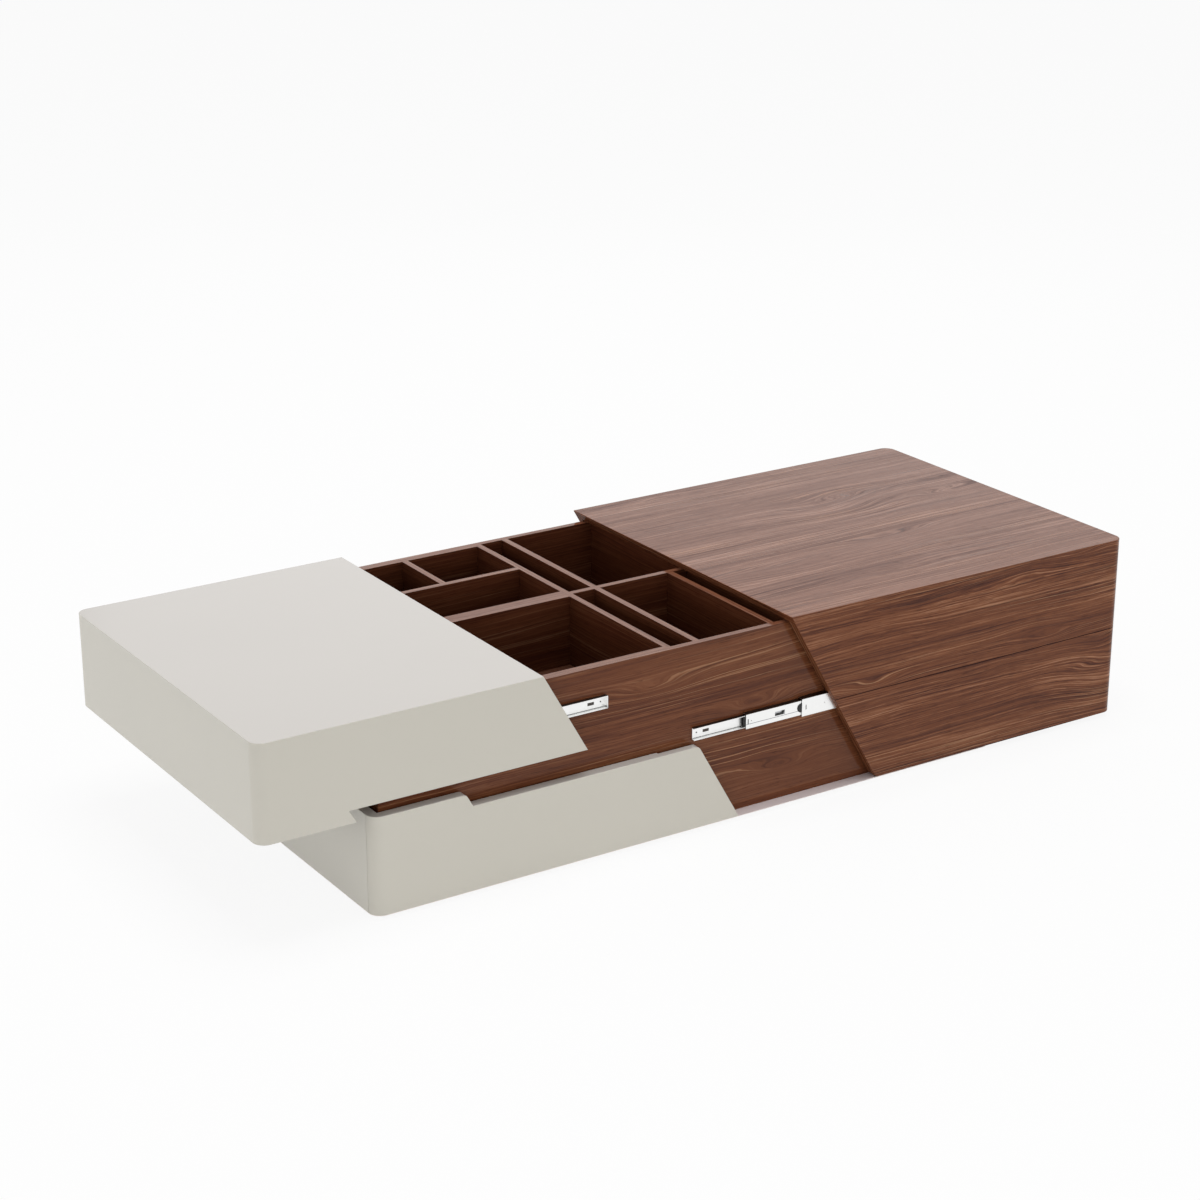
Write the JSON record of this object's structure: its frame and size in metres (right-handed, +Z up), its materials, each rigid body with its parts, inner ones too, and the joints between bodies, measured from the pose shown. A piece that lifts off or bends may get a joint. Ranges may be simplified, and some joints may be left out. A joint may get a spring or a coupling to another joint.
{
  "type": "sliding top coffee table",
  "caption": "Low box coffee table whose lacquered left top and walnut right cover slide apart on ball bearing slides over a divided storage box.",
  "frame": {"origin": "on the floor, under the middle of the base board", "axes": "+X along the length towards the walnut cover, +Y from front to back, +Z up"},
  "size_m": [1.81, 0.708, 0.36],
  "materials": {
    "lacquer": "gloss lacquer",
    "cover_walnut": "lacquered walnut",
    "box_walnut": "satin walnut",
    "plain_wood": "bare wood",
    "zinc_steel": "bright zinc",
    "cage_steel": "plain steel",
    "screw_steel": "bright zinc",
    "black_plastic": "matt",
    "felt": "pressed felt"
  },
  "bodies": {
    "base": {"base_board": "lacquer", "floor_pads": "felt", "base_front_panel": "lacquer", "base_back_panel": "lacquer", "base_left_end": "lacquer", "panel_battens": "plain_wood", "box_front_wall": "box_walnut", "box_back_wall": "box_walnut", "box_left_wall": "box_walnut", "box_right_wall": "box_walnut", "box_floor": "box_walnut", "floor_bearers": "plain_wood", "front_liner": "box_walnut", "back_liner": "box_walnut", "divider_cross_left": "box_walnut", "divider_cross_right": "box_walnut", "divider_centre_thick": "box_walnut", "divider_centre_right": "box_walnut", "divider_back_long": "box_walnut", "divider_back_short": "box_walnut", "divider_end_front": "box_walnut", "divider_end_back": "box_walnut", "box_rail_screws": "screw_steel", "left_inner_rail_front": "zinc_steel", "left_inner_rail_back": "zinc_steel", "right_inner_rail_front": "zinc_steel", "right_inner_rail_back": "zinc_steel"},
    "left_top": {"left_top_panel": "lacquer", "left_front_apron": "lacquer", "left_back_apron": "lacquer", "left_end_panel": "lacquer", "left_top_dowels": "plain_wood", "left_outer_rail_front": "zinc_steel", "left_outer_rail_back": "zinc_steel", "left_rail_stops": "black_plastic", "left_rail_screws": "screw_steel"},
    "right_cover": {"right_top_panel": "cover_walnut", "right_front_apron": "cover_walnut", "right_back_apron": "cover_walnut", "right_end_panel": "cover_walnut", "right_cover_dowels": "plain_wood", "right_outer_rail_front": "zinc_steel", "right_outer_rail_back": "zinc_steel", "right_rail_stops": "black_plastic", "right_rail_screws": "screw_steel"},
    "left_middle_rails": {"left_middle_rail_front": "zinc_steel", "left_middle_rail_back": "zinc_steel", "left_slide_plastics": "black_plastic"},
    "right_middle_rails": {"right_middle_rail_front": "zinc_steel", "right_middle_rail_back": "zinc_steel", "right_slide_plastics": "black_plastic"},
    "left_outer_cages": {"left_outer_cage_front": "cage_steel", "left_outer_cage_back": "cage_steel"},
    "left_inner_cages": {"left_inner_cage_front": "cage_steel", "left_inner_cage_back": "cage_steel"},
    "right_outer_cages": {"right_outer_cage_front": "cage_steel", "right_outer_cage_back": "cage_steel"},
    "right_inner_cages": {"right_inner_cage_front": "cage_steel", "right_inner_cage_back": "cage_steel"}
  },
  "joints": [
    {"name": "left_top_slide", "type": "slide", "parent": "base", "child": "left_top", "axis": [-1, 0, 0], "range_m": [-0.2, 0]},
    {"name": "left_middle_rails_slide", "type": "slide", "parent": "base", "child": "left_middle_rails", "axis": [-1, 0, 0], "range_m": [-0.1, 0]},
    {"name": "left_outer_cages_slide", "type": "slide", "parent": "base", "child": "left_outer_cages", "axis": [-1, 0, 0], "range_m": [-0.15, 0]},
    {"name": "left_inner_cages_slide", "type": "slide", "parent": "base", "child": "left_inner_cages", "axis": [-1, 0, 0], "range_m": [-0.05, 0]},
    {"name": "right_cover_slide", "type": "slide", "parent": "base", "child": "right_cover", "axis": [1, 0, 0], "range_m": [-0.305, 0]},
    {"name": "right_middle_rails_slide", "type": "slide", "parent": "base", "child": "right_middle_rails", "axis": [1, 0, 0], "range_m": [-0.1525, 0]},
    {"name": "right_outer_cages_slide", "type": "slide", "parent": "base", "child": "right_outer_cages", "axis": [1, 0, 0], "range_m": [-0.22875, 0]},
    {"name": "right_inner_cages_slide", "type": "slide", "parent": "base", "child": "right_inner_cages", "axis": [1, 0, 0], "range_m": [-0.07625, 0]}
  ],
  "couplings": [
    {"joint": "left_middle_rails_slide", "follows": "left_top_slide", "ratio": 0.5},
    {"joint": "left_outer_cages_slide", "follows": "left_top_slide", "ratio": 0.75},
    {"joint": "left_inner_cages_slide", "follows": "left_top_slide", "ratio": 0.25},
    {"joint": "right_middle_rails_slide", "follows": "right_cover_slide", "ratio": 0.5},
    {"joint": "right_outer_cages_slide", "follows": "right_cover_slide", "ratio": 0.75},
    {"joint": "right_inner_cages_slide", "follows": "right_cover_slide", "ratio": 0.25}
  ]
}
